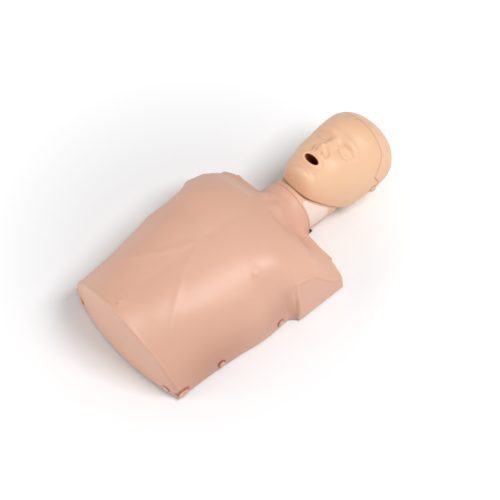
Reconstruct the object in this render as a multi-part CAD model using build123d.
from build123d import *
import math
import os

os.makedirs("parts", exist_ok=True)

# Driving sizes in millimetres. The origin lies on the floor below the compression axis,
# Y runs from waist to crown, X to the manikin's left and Z up.
FLOOR_GAP = 4.0
SKIN_WALL = 2.5
SOFT_GAP = 0.4
FIT_GAP = 0.2
WAIST_MIDDLE = -251.5
WAIST_BOW = 22.0
WAIST_HALF = 150.0
SHOULDER_END = 171.0
SHOULDER_HALF = 181.0
STUB_HALF = 179.5
STUB_LEAN = 0.2

BASE_FLOOR_LOW = 3.0
BASE_FLOOR_TOP = 6.0
BASE_WALL = 3.0
BASE_RIM = 40.0
FOOT_RADIUS = 10.0
FOOT_PLUG = 3.0
MIDDLE_FOOT_RADIUS = 24.0

BAG_THICK = 4.0
PLATE_THICK = 3.4
PLATE_HALF = 92.0
PLATE_LOW_END = -96.0
PLATE_HIGH_END = 100.0
TRAVEL = 55.0

FLANGE_LOW = 148.0
FLANGE_THICK = 3.0
FLANGE_RADIUS = 38.0
PISTON_OUTER = 20.0
PISTON_BORE = 17.5
PISTON_LOW = 72.0
POST_OUTER = 17.0
POST_BORE = 14.0
POST_TOP = 92.0
PIN_RADIUS = 3.0
PIN_HEIGHT = 84.0

CUP_TOP = 12.0
COIL_RADIUS = 27.0
WIRE_RADIUS = 1.6
COIL_TURNS = 6

SCREW_RADIUS = 2.0
CUP_SCREW_CIRCLE = 35.0
SCREW_HEAD = 3.6
SCREW_HEAD_THICK = 2.4
NECK_SCREW_X = 18.0
NECK_SCREW_Y = 158.0

PIVOT_Y = 285.0
PIVOT_Z = 64.0
NECK_RADIUS = 58.0
NECK_WALL = 3.0
NECK_LOW_END = 132.0
NECK_FLAT = 52.5
COLLAR_END = 186.0
BOLT_RADIUS = 4.0
WASHER_THICK = 1.8
LUG_INNER = 54.5
LUG_THICK = 4.0

MASK_WALL = 3.0
SUPPORT_WALL = 2.6
HEAD_MIDDLE = (0.0, 318.0, 92.0)
MOUTH_Y = 243.0
PIPE_RADIUS = 12.0
PIPE_WALL = 2.0

# Profiles along the body: place on Y, then the size there.
TRUNK_HALF = [(-262, 134), (-250, 142), (-238, 149), (-222, 153), (-175, 154), (-125, 156),
              (-75, 160), (-35, 165), (5, 165), (40, 160), (90, 152)]
FULLNESS = [(-262, 1.72), (-225, 1.8), (-180, 2.1), (-110, 2.4), (-40, 2.5), (40, 2.6)]
CREST = [(-262, 166), (-175, 165), (-95, 168), (-15, 172), (55, 167), (105, 150),
         (140, 135), (171, 121), (180, 117)]
TORSO_STATIONS = [-262, -246, -228, -200, -165, -130, -95, -60, -30, -5, 15, 30, 42, 50,
                  58, 68, 84, 102, 120, 138, 155, 176]
FACE_TOP = [(196, 128), (203, 150), (211, 163), (223, 165), (235, 170), (251, 174),
            (265, 178), (295, 178), (322, 184), (355, 187), (385, 177), (410, 152),
            (425, 125), (433, 104), (435, 92)]
OCCIPUT = [(196, 60), (240, 32), (275, 7), (300, 3), (318, 11), (336, 21.5), (357, 30.5),
           (375, 40), (402, 56), (420, 73), (430, 86), (435, 92)]
HEAD_HALF = [(196, 24), (201, 36), (215, 46), (235, 57), (255, 65), (275, 71), (305, 77),
             (335, 81), (365, 82), (390, 77), (410, 62), (425, 38), (432, 18), (434.5, 6)]
HEAD_WAIST = [(196, 105), (235, 98), (265, 90), (325, 84), (365, 86), (435, 92)]
HEAD_STATIONS = [196, 200, 206, 213, 220, 226, 231, 236, 240, 244, 248, 252, 257, 262, 267,
                 272, 277, 283, 290, 298, 305, 312, 321, 332, 346, 362, 378, 393, 406, 417,
                 425, 430, 433, 434.5]
FACE_STEPS = [0, 0.055, 0.11, 0.17, 0.235, 0.305, 0.385, 0.47, 0.565, 0.67, 0.78, 0.88, 0.96, 1]
NAPE_STEPS = [0.92, 0.74, 0.5, 0.25]


def along(stations, place):
    """Smooth value at a place, through (place, value) pairs."""
    last = len(stations) - 1
    if place <= stations[0][0]:
        return stations[0][1]
    if place >= stations[last][0]:
        return stations[last][1]
    i = 0
    while stations[i + 1][0] < place:
        i += 1
    span = stations[i + 1][0] - stations[i][0]
    slopes = []
    for k in (i, i + 1):
        before = stations[max(k - 1, 0)]
        after = stations[min(k + 1, last)]
        slopes.append((after[1] - before[1]) / (after[0] - before[0]))
    t = (place - stations[i][0]) / span
    value = stations[i][1] * (1 + 2 * t) * (1 - t) ** 2
    value += slopes[0] * span * t * (1 - t) ** 2
    value += stations[i + 1][1] * t * t * (3 - 2 * t)
    value -= slopes[1] * span * t * t * (1 - t)
    return value


def ramp(value, low, high):
    """Smooth step from 0 to 1."""
    t = min(max((value - low) / (high - low), 0), 1)
    return t * t * (3 - 2 * t)


def hill(x, y, middle_x, middle_y, reach_x, reach_y):
    """Rounded hill of height 1."""
    return math.exp(-(((x - middle_x) / reach_x) ** 2) - ((y - middle_y) / reach_y) ** 2)


# Torso form


def torso_point(y, side, inset):
    """Section point (x, z) of the torso at y; side runs from -1 to 1 across."""
    part = abs(side)
    into = ramp(y - inset, 34 - 70 * (1 - part), 58 + 20 * (1 - part))
    half = along(TRUNK_HALF, y)
    half += (SHOULDER_HALF - half) * into
    power = along(FULLNESS, y)
    across = math.sin(part * math.pi / 2)
    x = half * across
    z = along(CREST, y + inset / 2) * max(1 - across ** power, 0) ** (1 / power)
    z *= 1 - 0.42 * ramp(y, 100, 167) * ramp(x, 15, 72)
    return math.copysign(x, side), z


def torso_section(y, inset):
    """Closed section of the torso, its arch moved inward by the inset."""
    count = 19
    points = []
    for k in range(count):
        side = -1 + 2 * k / (count - 1)
        x, z = torso_point(y, side, inset)
        before = torso_point(y, max(side - 0.004, -1), inset)
        after = torso_point(y, min(side + 0.004, 1), inset)
        run = after[0] - before[0]
        rise = after[1] - before[1]
        size = math.hypot(run, rise)
        normal = (-rise / size, run / size)
        if abs(side) == 1:
            normal = (side, 0)
        points.append(Vector(x - normal[0] * inset, y, z - normal[1] * inset))
    steps = [k / (count - 1) for k in range(count)]
    arch = Edge.make_spline(points, parameters=steps)
    return Wire([arch, Edge.make_line(points[-1], points[0])])


def torso_trim(inset):
    """Waist end, shoulder end and the two leaning arm faces."""
    wide = 200
    corner = WAIST_MIDDLE + WAIST_BOW * (wide / WAIST_HALF) ** 2 + inset
    back = SHOULDER_END - inset
    bow = ThreePointArc((-wide, corner), (0, WAIST_MIDDLE + inset), (wide, corner))
    rest = Polyline((wide, corner), (wide, back), (-wide, back), (-wide, corner))
    plan = extrude(make_face(bow + rest), 230)
    low = STUB_HALF - inset
    high = low - 230 * STUB_LEAN
    front = Polyline((-low, 0), (low, 0), (high, 230), (-high, 230), (-low, 0))
    lean = extrude(Plane.XZ * make_face(front), 300, both=True)
    return plan & lean


def torso_form(inset):
    """The whole torso volume, moved inward by the inset, without the neck collar."""
    arch = Solid.make_loft([torso_section(y, inset) for y in TORSO_STATIONS])
    return torso_trim(inset) & arch


def slab(low, high):
    """Wide level layer between two heights."""
    return Pos(0, 0, (low + high) / 2) * Box(900, 1200, high - low)


def lying(radius, start, end, x=0, z=0):
    """Round bar along Y."""
    middle = (start + end) / 2
    return Pos(x, middle, z) * Rot(90, 0, 0) * Cylinder(radius, end - start)


def across(radius, start, end, y=0, z=0):
    """Round bar along X."""
    middle = (start + end) / 2
    return Pos(middle, y, z) * Rot(0, 90, 0) * Cylinder(radius, end - start)


def upright(radius, low, high, x=0, y=0):
    """Round bar along Z."""
    return Pos(x, y, (low + high) / 2) * Cylinder(radius, high - low)


def both_sides(shape):
    """A piece and its mirror across the middle plane."""
    return [shape, mirror(shape, Plane.YZ)]


def collar(radius):
    """Arch with straight legs round the neck."""
    end = COLLAR_END
    ring = lying(radius, 130, end, z=PIVOT_Z)
    legs = Pos(0, (130 + end) / 2, PIVOT_Z / 2) * Box(2 * radius, end - 130, PIVOT_Z)
    return ring + legs


# Pegs that hold the skin


PEG_STEM = 3.5
PEG_HEAD = 6.2
PEG_HEIGHT = 17.0
PEG_ROWS = [-126, 16]
WAIST_PEG_X = 127.0
TAB_Y = -218.0
TAB_HALF = 153.6
CLIP_X = 118.0
CLIP_Z = 46.0


def side_half(y):
    """Half width of the skin at a peg, with a little air under the head."""
    return along(TRUNK_HALF, y) + 0.5


def side_peg(y):
    """Round-headed peg through the side of the skin."""
    half = side_half(y)
    head = across(PEG_HEAD, half + 0.3, half + 3.3, y, PEG_HEIGHT)
    head = fillet(head.edges().sort_by(Axis.X)[-1], 1.4)
    return head + across(PEG_STEM, half - 8, half + 0.4, y, PEG_HEIGHT)


def side_peg_hole(y, extra):
    half = side_half(y)
    return across(PEG_STEM + extra, half - 12, half + 6, y, PEG_HEIGHT)


def waist_peg_place():
    """Plane on the bowed waist end, looking outward."""
    y = WAIST_MIDDLE + WAIST_BOW * (WAIST_PEG_X / WAIST_HALF) ** 2
    slope = 2 * WAIST_BOW * WAIST_PEG_X / WAIST_HALF ** 2
    outward = Vector(slope, -1, 0).normalized()
    return Plane(origin=(WAIST_PEG_X, y, PEG_HEIGHT), z_dir=outward)


def waist_peg():
    """Round-headed peg through the waist end of the skin."""
    head = Pos(0, 0, 2.2) * Cylinder(PEG_HEAD, 3)
    head = fillet(head.edges().sort_by(Axis.Z)[-1], 1.4)
    stem = Pos(0, 0, -3.4) * Cylinder(PEG_STEM, 8.4)
    return waist_peg_place() * (head + stem)


def waist_peg_hole(extra):
    return waist_peg_place() * Pos(0, 0, -3) * Cylinder(PEG_STEM + extra, 18)


def tab_shape(length, height, start, end):
    """Oblong plate whose thickness runs along X."""
    outline = SlotOverall(length, height)
    plate = extrude(Plane.YZ * outline, end - start)
    return Pos(start, TAB_Y, PEG_HEIGHT - 2) * plate


def corner_tab():
    """Long tab hooked through the skin beside the waist corner."""
    head = tab_shape(22, 11, TAB_HALF + 0.6, TAB_HALF + 3.8)
    return head + tab_shape(13, 5, TAB_HALF - 9, TAB_HALF + 0.8)


def shoulder_clip():
    """Straight plate on the shoulder end with two stems into the base."""
    low = SHOULDER_END + 0.3
    plate = Pos(CLIP_X, low + 1.5, CLIP_Z) * Box(40, 3, 13)
    plate = fillet(plate.edges().filter_by(Axis.Y), 3)
    stem = lying(3, SHOULDER_END - 6, low + 1, CLIP_X - 14, CLIP_Z)
    twin = lying(3, SHOULDER_END - 6, low + 1, CLIP_X + 14, CLIP_Z)
    return plate + stem + twin


def shoulder_clip_holes(extra):
    stem = lying(3 + extra, SHOULDER_END - 12, SHOULDER_END + 8, CLIP_X - 14, CLIP_Z)
    twin = lying(3 + extra, SHOULDER_END - 12, SHOULDER_END + 8, CLIP_X + 14, CLIP_Z)
    return stem + twin


def skin_fixings(extra):
    """Everything that passes through the skin, enlarged by the extra."""
    holes = []
    for y in PEG_ROWS:
        holes += both_sides(side_peg_hole(y, extra))
    holes += both_sides(waist_peg_hole(extra))
    tab = tab_shape(13 + 2 * extra, 5 + 2 * extra, TAB_HALF - 14, TAB_HALF + 8)
    holes += both_sides(tab)
    holes += both_sides(shoulder_clip_holes(extra))
    return holes


# Base and soft torso


def torso_skin():
    """Closed vinyl skin, open below and at the neck."""
    outer = torso_form(0) + collar(NECK_RADIUS + SOFT_GAP + SKIN_WALL)
    inner = torso_form(SKIN_WALL)
    skin = outer - slab(-10, FLOOR_GAP) - inner
    passage = collar(NECK_RADIUS + SOFT_GAP)
    skin -= Pos(0, 8, 0) * passage
    skin -= passage
    for hole in skin_fixings(0.4):
        skin -= hole
    return skin


FOOT_PLACES = [(122, -196), (130, -30), (118, 132)]


def base_shell():
    """Ribbed tray inside the lower edge of the skin."""
    gap = SKIN_WALL + SOFT_GAP + 0.2
    full = torso_form(gap)
    core = torso_form(gap + BASE_WALL)
    base = full & slab(BASE_FLOOR_LOW, BASE_RIM)
    base -= core & slab(BASE_FLOOR_TOP, BASE_RIM + 10)
    tongue = Pos(0, 185, (BASE_FLOOR_LOW + BASE_FLOOR_TOP) / 2)
    base += tongue * Box(84, 60, BASE_FLOOR_TOP - BASE_FLOOR_LOW)
    lattice = []
    for x in (-100, -56, 56, 100):
        lattice.append(Pos(x, -40, 13) * Box(2.5, 420, 16))
    for y in (-200, -140, -80, 80, 115):
        lattice.append(Pos(0, y, 13) * Box(330, 2.5, 16))
    keep = core & slab(BASE_FLOOR_TOP - 1, 40)
    keep -= lying(NECK_RADIUS + 1.5, NECK_LOW_END - 3, 260, z=PIVOT_Z)
    for rib in lattice:
        base += rib & keep
    high = full & slab(BASE_FLOOR_TOP - 1, 200)
    for x in (-134, -110, 110, 134):
        base += high & (Pos(x, 115, 90) * Box(3, 104, 180))
    saddle = Pos(0, NECK_SCREW_Y, 22) * Box(100, 14, 34)
    base += saddle
    base -= lying(NECK_RADIUS + 0.01, 100, 260, z=PIVOT_Z)
    for y in PEG_ROWS:
        half = side_half(y)
        for boss in both_sides(across(7, half - 13, half - 4.8, y, PEG_HEIGHT)):
            base += boss
    for boss in both_sides(waist_peg_place() * Pos(0, 0, -7) * Cylinder(7, 7)):
        base += boss
    for boss in both_sides(tab_shape(20, 12, TAB_HALF - 13, TAB_HALF - 6)):
        base += boss & full
    for x in (CLIP_X - 14, CLIP_X + 14):
        boss = lying(6, SHOULDER_END - 14, SHOULDER_END - 3.2, x, CLIP_Z)
        wall = Pos(CLIP_X, SHOULDER_END - 5, CLIP_Z / 2 + 3) * Box(44, 3, CLIP_Z)
        for piece in both_sides(boss + wall):
            base += piece & high
    base += upright(12, BASE_FLOOR_TOP - 1, 22, CLICK_X, CLICK_Y)
    for hole in skin_fixings(0.1):
        base -= hole
    base -= upright(FOOT_PLUG + 0.1, 0, 7)
    for x, y in FOOT_PLACES:
        for hole in both_sides(upright(FOOT_PLUG + 0.1, 0, 7, x, y)):
            base -= hole
    for angle in (45, 135, 225, 315):
        x = CUP_SCREW_CIRCLE * math.cos(math.radians(angle))
        y = CUP_SCREW_CIRCLE * math.sin(math.radians(angle))
        base -= upright(SCREW_RADIUS + 0.05, 0, 10, x, y)
    for x in (-NECK_SCREW_X, NECK_SCREW_X):
        base -= upright(SCREW_RADIUS + 0.1, 0, 10, x, NECK_SCREW_Y)
        base -= upright(SCREW_HEAD + 0.2, 0, BASE_FLOOR_LOW + 1.2, x, NECK_SCREW_Y)
    return base


def rubber_foot(radius, x, y):
    """Round foot plugged into the tray."""
    foot = upright(radius, 0, BASE_FLOOR_LOW, x, y)
    foot = fillet(foot.edges().sort_by(Axis.Z)[0], 1)
    return foot + upright(FOOT_PLUG, BASE_FLOOR_LOW - 0.5, BASE_FLOOR_TOP, x, y)


def rubber_feet():
    """A large foot below the spring and three pairs near the rim."""
    feet = [rubber_foot(MIDDLE_FOOT_RADIUS, 0, 0)]
    for x, y in FOOT_PLACES:
        feet += both_sides(rubber_foot(FOOT_RADIUS, x, y))
    return Compound(feet)


# Chest mechanism


CLICK_X = 0.0
CLICK_Y = -62.0


def plan_plate(half, low, high, corner):
    """Upright prism with a rounded rectangular plan."""
    prism = Pos(0, (low + high) / 2, 110) * Box(2 * half, high - low, 180)
    return fillet(prism.edges().filter_by(Axis.Z), corner)


def rib_plate():
    """Curved chest plate with open slots between its ribs."""
    top = SKIN_WALL + SOFT_GAP + BAG_THICK + SOFT_GAP
    outside = torso_form(top)
    inside = torso_form(top + PLATE_THICK)
    plate = (outside - inside) & plan_plate(PLATE_HALF, PLATE_LOW_END, PLATE_HIGH_END, 30)
    for k in range(5):
        y = -66 + 31 * k
        for turn in (-1, 1):
            slot = Pos(turn * 65, y + 4, 110) * Rot(0, 0, turn * 12) * Box(36, 11, 180)
            plate -= slot
    ring = upright(FLANGE_RADIUS, FLANGE_LOW + FLANGE_THICK, 175)
    ring -= upright(FLANGE_RADIUS - 9, FLANGE_LOW, 180)
    plate += ring & outside
    for angle in (45, 135, 225, 315):
        x = (FLANGE_RADIUS - 4.5) * math.cos(math.radians(angle))
        y = (FLANGE_RADIUS - 4.5) * math.sin(math.radians(angle))
        plate -= upright(SCREW_RADIUS + 0.05, FLANGE_LOW, FLANGE_LOW + 12, x, y)
    stem = upright(6, 140, 175, CLICK_X, CLICK_Y) & outside
    return plate + stem


def striker():
    """Rubber-tipped rod that meets the click dome at full depth."""
    low = CLICK_LOW + TRAVEL + 0.4
    rod = upright(4, low, 140, CLICK_X, CLICK_Y)
    rod = fillet(rod.edges().sort_by(Axis.Z)[0], 2)
    return rod + upright(6, 134, 140, CLICK_X, CLICK_Y)


CLICK_LOW = 25.0


def click_dome():
    """Domed spring-steel disc on its pedestal."""
    rise = CLICK_LOW - 22
    ball = (9.5 ** 2 + rise ** 2) / (2 * rise)
    place = Pos(CLICK_X, CLICK_Y, 22 + rise - ball)
    dome = place * (Sphere(ball) - Sphere(ball - 0.8))
    return dome & (Pos(CLICK_X, CLICK_Y, 26) * Box(30, 30, 8))


def piston():
    """Flanged tube with two long slots for the travel pin."""
    tube = upright(PISTON_OUTER, PISTON_LOW, FLANGE_LOW + 1)
    tube += upright(FLANGE_RADIUS, FLANGE_LOW, FLANGE_LOW + FLANGE_THICK)
    tube -= upright(PISTON_BORE, PISTON_LOW - 1, FLANGE_LOW)
    slot_low = PIN_HEIGHT
    slot_high = PIN_HEIGHT + TRAVEL + 0.2
    middle = (slot_low + slot_high) / 2
    slot = Pos(0, 0, middle) * Box(60, 2 * PIN_RADIUS + 0.4, slot_high - slot_low)
    slot += across(PIN_RADIUS + 0.2, -30, 30, z=slot_low)
    slot += across(PIN_RADIUS + 0.2, -30, 30, z=slot_high)
    tube -= slot
    for angle in (45, 135, 225, 315):
        x = (FLANGE_RADIUS - 4.5) * math.cos(math.radians(angle))
        y = (FLANGE_RADIUS - 4.5) * math.sin(math.radians(angle))
        tube -= upright(SCREW_RADIUS + 0.1, FLANGE_LOW - 1, FLANGE_LOW + 5, x, y)
    return tube


def guide_post():
    """Tube that stands on the tray and guides the piston."""
    post = upright(POST_OUTER, BASE_FLOOR_TOP, POST_TOP)
    post -= upright(POST_BORE, BASE_FLOOR_TOP + 3, POST_TOP + 1)
    return post - across(PIN_RADIUS + 0.05, -30, 30, z=PIN_HEIGHT)


def travel_pin():
    """Cross pin that stops the piston at the top of its travel."""
    return across(PIN_RADIUS, -22, 22, z=PIN_HEIGHT)


def spring_cup():
    """Dished ring under the spring."""
    cup = upright(39, BASE_FLOOR_TOP, CUP_TOP + 5)
    cup -= upright(31, CUP_TOP, CUP_TOP + 8)
    cup -= upright(POST_OUTER + FIT_GAP, 0, CUP_TOP + 8)
    for angle in (45, 135, 225, 315):
        x = CUP_SCREW_CIRCLE * math.cos(math.radians(angle))
        y = CUP_SCREW_CIRCLE * math.sin(math.radians(angle))
        cup -= upright(SCREW_RADIUS + 0.1, 0, CUP_TOP + 8, x, y)
        cup -= upright(SCREW_HEAD + 0.2, CUP_TOP + 5 - SCREW_HEAD_THICK, CUP_TOP + 8, x, y)
    return cup


def spring():
    """Open coil between cup and flange, in short straight runs."""
    low = CUP_TOP + WIRE_RADIUS
    high = FLANGE_LOW - WIRE_RADIUS
    per_turn = 18
    rings = []
    for k in range(COIL_TURNS * per_turn + 1):
        part = k / (COIL_TURNS * per_turn)
        angle = math.radians(360 * COIL_TURNS * part)
        out = Vector(math.cos(angle), math.sin(angle), 0)
        middle = out * COIL_RADIUS + Vector(0, 0, low + (high - low) * part)
        corners = []
        for j in range(6):
            turn = math.radians(60 * j + 30)
            rise = Vector(0, 0, WIRE_RADIUS * math.sin(turn))
            corners.append(middle + out * (WIRE_RADIUS * math.cos(turn)) + rise)
        rings.append(Wire(Polyline(*corners, close=True).edges()))
    return Solid.make_loft(rings, True)


def ring_screws(radius, shank_low, shank_high, head_low):
    """Four screws on a circle, heads below or above."""
    screws = []
    for angle in (45, 135, 225, 315):
        x = radius * math.cos(math.radians(angle))
        y = radius * math.sin(math.radians(angle))
        shank = upright(SCREW_RADIUS, shank_low, shank_high, x, y)
        head = upright(SCREW_HEAD, head_low, head_low + SCREW_HEAD_THICK, x, y)
        screws.append(shank + head)
    return Compound(screws)


def lung_bag():
    """Flat bag between rib plate and skin."""
    top = SKIN_WALL + SOFT_GAP
    outside = torso_form(top)
    inside = torso_form(top + BAG_THICK)
    sheet = outside - inside
    bag = sheet & plan_plate(58, -70, 84, 26)
    neck = sheet & plan_plate(16, 60, 103, 3)
    return bag + neck


# Neck and airway


def neck_form(radius, start):
    """Round bar along Y that ends in a ball at the tilt axis."""
    tip = (0, PIVOT_Y + radius)
    bow = (radius * math.sqrt(0.5), PIVOT_Y + radius * math.sqrt(0.5))
    outline = Polyline(tip, (0, start), (radius, start), (radius, PIVOT_Y))
    outline += ThreePointArc((radius, PIVOT_Y), bow, tip)
    return Pos(0, 0, PIVOT_Z) * revolve(make_face(outline), Axis.Y)


def neck_shell():
    """Neck tube that ends in a ball round the tilt axis."""
    outer = neck_form(NECK_RADIUS, NECK_LOW_END)
    neck = outer - neck_form(NECK_RADIUS - NECK_WALL, NECK_LOW_END - 1)
    for pad in both_sides(across(24, NECK_FLAT - 8, NECK_FLAT, PIVOT_Y, PIVOT_Z)):
        neck += pad & outer
    for cut in both_sides(Pos(NECK_FLAT + 5, PIVOT_Y + 15, PIVOT_Z) * Box(10, 80, 120)):
        neck -= cut
    for hole in both_sides(across(BOLT_RADIUS + 0.05, 40, 60, PIVOT_Y, PIVOT_Z)):
        neck -= hole
    sill = Pos(0, NECK_SCREW_Y, 13) * Box(56, 20, 14)
    neck += sill & outer
    for x in (-NECK_SCREW_X, NECK_SCREW_X):
        neck -= upright(SCREW_RADIUS + 0.05, 0, 17, x, NECK_SCREW_Y)
    slot = Pos(0, PIVOT_Y - 14, PIVOT_Z + 40) * Box(34, 78, 60)
    return neck - fillet(slot.edges().filter_by(Axis.Z), 10)


def neck_label():
    """Bare sticker on the left of the neck."""
    ring = lying(NECK_RADIUS + 0.55, 188, 240, z=PIVOT_Z)
    ring -= lying(NECK_RADIUS + 0.02, 180, 250, z=PIVOT_Z)
    window = side_prism([(190, 57), (238, 57), (238, 78), (200, 112), (190, 112)])
    window = fillet(window.edges().filter_by(Axis.X), 4)
    return ring & window & Pos(60, 214, PIVOT_Z) * Box(110, 80, 130)


def pivot_bolt():
    """Shouldered bolt through lug, washer and neck cheek."""
    head_start = LUG_INNER + LUG_THICK + FIT_GAP
    head = across(6.5, head_start, head_start + 2.6, PIVOT_Y, PIVOT_Z)
    head = fillet(head.edges().sort_by(Axis.X)[-1], 0.8)
    return head + across(BOLT_RADIUS, NECK_FLAT - 10, head_start + 1, PIVOT_Y, PIVOT_Z)


def friction_washer():
    """Thick washer between neck cheek and lug."""
    start = NECK_FLAT + 0.1
    ring = across(13, start, start + WASHER_THICK, PIVOT_Y, PIVOT_Z)
    return ring - across(BOLT_RADIUS + 0.1, start - 1, start + 4, PIVOT_Y, PIVOT_Z)


def neck_screws():
    """Two screws that hold the neck on the tray."""
    screws = []
    for x in (-NECK_SCREW_X, NECK_SCREW_X):
        shank = upright(SCREW_RADIUS, BASE_FLOOR_LOW, 16, x, NECK_SCREW_Y)
        head = upright(SCREW_HEAD, BASE_FLOOR_LOW - 1.2, BASE_FLOOR_LOW + 1.2, x, NECK_SCREW_Y)
        screws.append(shank + head)
    return Compound(screws)


def airway_hose():
    """Hose from the ball of the neck to the inlet of the bag."""
    start = (0, PIVOT_Y - 18, PIVOT_Z - 1)
    path = Spline(start, (0, 215, 60), (0, 150, 66), (0, 121, 92), (0, 118, 130),
                  tangents=((0, -1, 0), (0, 0, 1)))
    section = Plane(origin=path @ 0, z_dir=path % 0)
    outer = sweep(section * Circle(9), path)
    inner = sweep(section * Circle(7.4), path)
    return outer - inner


# Head


def face_relief(x, y, deep):
    """Height added to the front of the head; the deep form leaves out the fine features."""
    added = 4 * hill(x, y, 48, 280, 20, 20) - 7 * hill(x, y, 30, 305, 17, 10)
    added += 4 * hill(x, y, 0, 214, 20, 9)
    if deep:
        return added + 8 * hill(x, y, 0, 276, 12, 18)
    added += 15 * hill(x, y, 0, 270, 12, 12) + 11 * hill(x, y, 0, 288, 10, 19)
    added += 6 * hill(x, y, 14, 267, 7, 8)
    added += 3 * hill(x, y, 31, 304, 12, 6)
    added += 3.5 * hill(x, y, 27, 323, 22, 8)
    ring = math.hypot(x / 22, (y - MOUTH_Y) / 11)
    added += 6 * math.exp(-(((ring - 1) / 0.42) ** 2))
    return added


def head_section(y, deep):
    """Closed section of the head at y, front half finer than the nape."""
    half = along(HEAD_HALF, y)
    waist = along(HEAD_WAIST, y)
    rise = along(FACE_TOP, y) - waist
    drop = waist - along(OCCIPUT, y)
    front = []
    for step in FACE_STEPS:
        level = max(1 - step ** 2.15, 0) ** (1 / 2.15)
        added = face_relief(half * step, y, deep) * level ** 0.5
        front.append((half * step, waist + rise * level + added))
    nape = []
    for step in NAPE_STEPS:
        level = (1 - step ** 2.1) ** (1 / 2.1)
        nape.append((half * step, waist - drop * level))
    left = front[1:] + nape
    ring = [(0, waist - drop)] + [(-x, z) for x, z in reversed(left)]
    ring += [front[0]] + left
    return [Vector(x, y, z) for x, z in ring]


def head_form(inset, deep):
    """Closed head volume, moved inward by the inset."""
    rings = [head_section(y, deep) for y in HEAD_STATIONS]
    model = rings[20]
    steps = [0.0]
    for k in range(len(model)):
        steps.append(steps[-1] + (model[(k + 1) % len(model)] - model[k]).length)
    steps = [step / steps[-1] for step in steps]
    middle = Vector(*HEAD_MIDDLE)
    shrink = Vector(1 - inset / 80, 1 - inset / 117, 1 - inset / 88)
    wires = []
    for ring in rings:
        moved = []
        for p in ring:
            d = p - middle
            moved.append(middle + Vector(d.X * shrink.X, d.Y * shrink.Y, d.Z * shrink.Z))
        wires.append(Wire([Edge.make_spline(moved, periodic=True, parameters=steps)]))
    return Solid.make_loft(wires)


def neck_edge(z):
    """Place of the sloping neck opening at a height."""
    return 333 - 1.1 * z


def side_prism(points):
    """Prism across the whole width from a side outline of (y, z) points."""
    face = make_face(Polyline(*points, close=True))
    return extrude(Plane.YZ * face, 120, both=True)


def mask_zone(gap):
    """Side outline of the front of the head."""
    low = 44 + gap
    return side_prism([(neck_edge(low) + gap, low), (neck_edge(240) + gap, 240),
                       (371 - gap, 240), (371 - gap, 146), (343 - gap, 106),
                       (352 - gap, 88), (352 - gap, 56), (325 - gap, low)])


def skull_zone(gap):
    """Side outline of the back of the head."""
    low = 44 - gap
    return side_prism([(371 + gap, 240), (371 + gap, 146), (343 + gap, 106),
                       (352 + gap, 88), (352 + gap, 56), (325 + gap, low),
                       (neck_edge(low), low),
                       (neck_edge(-10), -10), (450, -10), (450, 240)])


def mouth_plane():
    """Plane at the tilt axis, looking at the mouth."""
    return Plane(origin=(0, PIVOT_Y, PIVOT_Z), x_dir=(1, 0, 0),
                 z_dir=(0, MOUTH_Y - PIVOT_Y, 110))


def mouth_opening(half, low, start):
    """Oval bar from the throat to beyond the lips."""
    return mouth_plane() * Pos(0, 0, start) * extrude(Ellipse(half, low), 90)


EAR_Y = 341.0
EAR_Z = 72.0
EAR_SEAT = 80.2


def ear_peg():
    """Round button that holds the rear edge of the mask."""
    peg = across(6.5, EAR_SEAT + 0.1, EAR_SEAT + 3.2, EAR_Y, EAR_Z)
    peg = fillet(peg.edges().sort_by(Axis.X)[-1], 1)
    return peg + across(2.5, EAR_SEAT - 12, EAR_SEAT + 0.5, EAR_Y, EAR_Z)


def ear_seat(radius):
    """Flat recess and stem hole of an ear peg."""
    seat = across(6.9, EAR_SEAT, EAR_SEAT + 12, EAR_Y, EAR_Z)
    return seat + across(radius, EAR_SEAT - 20, EAR_SEAT + 1, EAR_Y, EAR_Z)


CHIN_SOLID = 206.0


def face_mask(front):
    """Soft face with open mouth."""
    hollow = head_form(MASK_WALL, True) & (Pos(0, CHIN_SOLID + 150, 100) * Box(300, 300, 300))
    mask = (front - hollow) & mask_zone(0.2)
    mask -= mouth_opening(17, 7.5, 70)
    for nostril in both_sides(Pos(6, 262, 178) * Rot(-25, 0, 0) * Cylinder(2.4, 24)):
        mask -= nostril
    mask -= neck_form(NECK_RADIUS + 0.8, 150)
    for seat in both_sides(ear_seat(2.9)):
        mask -= seat
    return mask


def skull_shell(front):
    """Hard back of the head."""
    return (front - head_form(MASK_WALL, True)) & skull_zone(0.2)


def face_support():
    """Stiff inner face that carries the mask and the tilt lugs."""
    outer = head_form(MASK_WALL + SOFT_GAP, True)
    inner = head_form(MASK_WALL + SOFT_GAP + SUPPORT_WALL, True)
    zone = side_prism([(neck_edge(50) + 4, 50), (208, 117), (208, 240), (381, 240),
                       (381, 140), (362, 102), (362, 52)])
    shell = (outer - inner) & zone
    shell -= mouth_opening(19.2, 9.7, 60)
    shell -= Pos(0, PIVOT_Y - 60, PIVOT_Z - 48) * Box(2 * NECK_RADIUS + 2.4, 120, 100)
    shell -= neck_form(NECK_RADIUS + 0.8, 150)
    root = head_form(MASK_WALL + SOFT_GAP + SUPPORT_WALL / 2, True)
    for piece in both_sides(tilt_lug()):
        shell += piece & root
    for seat in both_sides(ear_seat(2.55)):
        shell -= seat
    return shell


def tilt_lug():
    """Flat arm with the tilt bore, clear of the neck ball."""
    outline = Plane.YZ * (Pos(PIVOT_Y, 105) * Rectangle(28, 82) + Pos(PIVOT_Y, PIVOT_Z) * Circle(14))
    outline -= Plane.YZ * Pos(PIVOT_Y, PIVOT_Z) * Circle(BOLT_RADIUS + FIT_GAP)
    return Pos(LUG_INNER, 0, 0) * extrude(outline, LUG_THICK)


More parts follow.
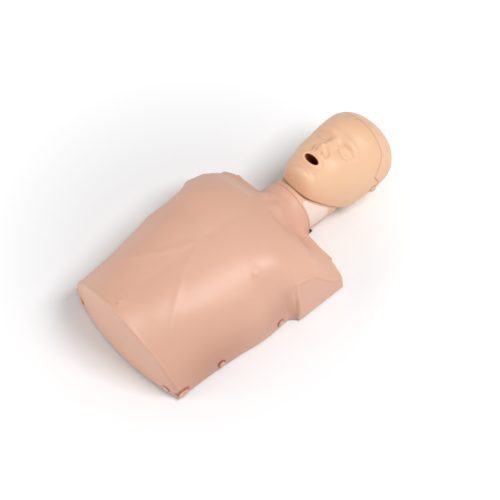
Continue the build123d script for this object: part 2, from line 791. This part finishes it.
def mouth_pipe():
    """Oval mouthpiece that narrows to a round pipe towards the neck."""
    place = mouth_plane()
    bore = PIPE_RADIUS - PIPE_WALL
    outer = loft([place * Pos(0, 0, 120) * Ellipse(19, 9.5),
                  place * Pos(0, 0, 98) * Ellipse(19, 9.5),
                  place * Pos(0, 0, 74) * Ellipse(PIPE_RADIUS + 0.6, PIPE_RADIUS + 0.5)], ruled=True)
    outer += place * Pos(0, 0, 47) * Cylinder(PIPE_RADIUS, 60)
    inner = loft([place * Pos(0, 0, 121) * Ellipse(17, 7.5),
                  place * Pos(0, 0, 98) * Ellipse(17, 7.5),
                  place * Pos(0, 0, 72) * Ellipse(bore + 0.6, bore + 0.5)], ruled=True)
    inner += place * Pos(0, 0, 45) * Cylinder(bore, 62)
    return (outer & head_form(MASK_WALL + SOFT_GAP, True)) - inner


def save(name, shape):
    export_step(shape, "parts/" + name + ".step")


def build_all():
    save("torso_skin", torso_skin())
    save("base_shell", base_shell())
    save("rubber_feet", rubber_feet())
    pegs = []
    for y in PEG_ROWS:
        pegs += both_sides(side_peg(y))
    save("side_pegs", Compound(pegs))
    save("waist_pegs", Compound(both_sides(waist_peg())))
    save("corner_tabs", Compound(both_sides(corner_tab())))
    save("shoulder_clips", Compound(both_sides(shoulder_clip())))
    save("spring_cup", spring_cup())
    save("compression_spring", spring())
    save("guide_post", guide_post())
    save("travel_pin", travel_pin())
    save("cup_screws", ring_screws(CUP_SCREW_CIRCLE, BASE_FLOOR_LOW, CUP_TOP + 4, CUP_TOP + 2.6))
    save("click_dome", click_dome())
    save("rib_plate", rib_plate())
    save("piston", piston())
    reach = FLANGE_RADIUS - 4.5
    save("plate_screws", ring_screws(reach, FLANGE_LOW - 1, FLANGE_LOW + 11,
                                     FLANGE_LOW - SCREW_HEAD_THICK))
    save("striker", striker())
    save("lung_bag", lung_bag())
    save("neck_shell", neck_shell())
    save("neck_label", neck_label())
    save("neck_screws", neck_screws())
    save("pivot_bolts", Compound(both_sides(pivot_bolt())))
    save("friction_washers", Compound(both_sides(friction_washer())))
    save("airway_hose", airway_hose())
    front = head_form(0, False)
    save("face_mask", face_mask(front))
    save("skull_shell", skull_shell(front))
    save("face_support", face_support())
    save("mouth_pipe", mouth_pipe())
    save("ear_pegs", Compound(both_sides(ear_peg())))


build_all()
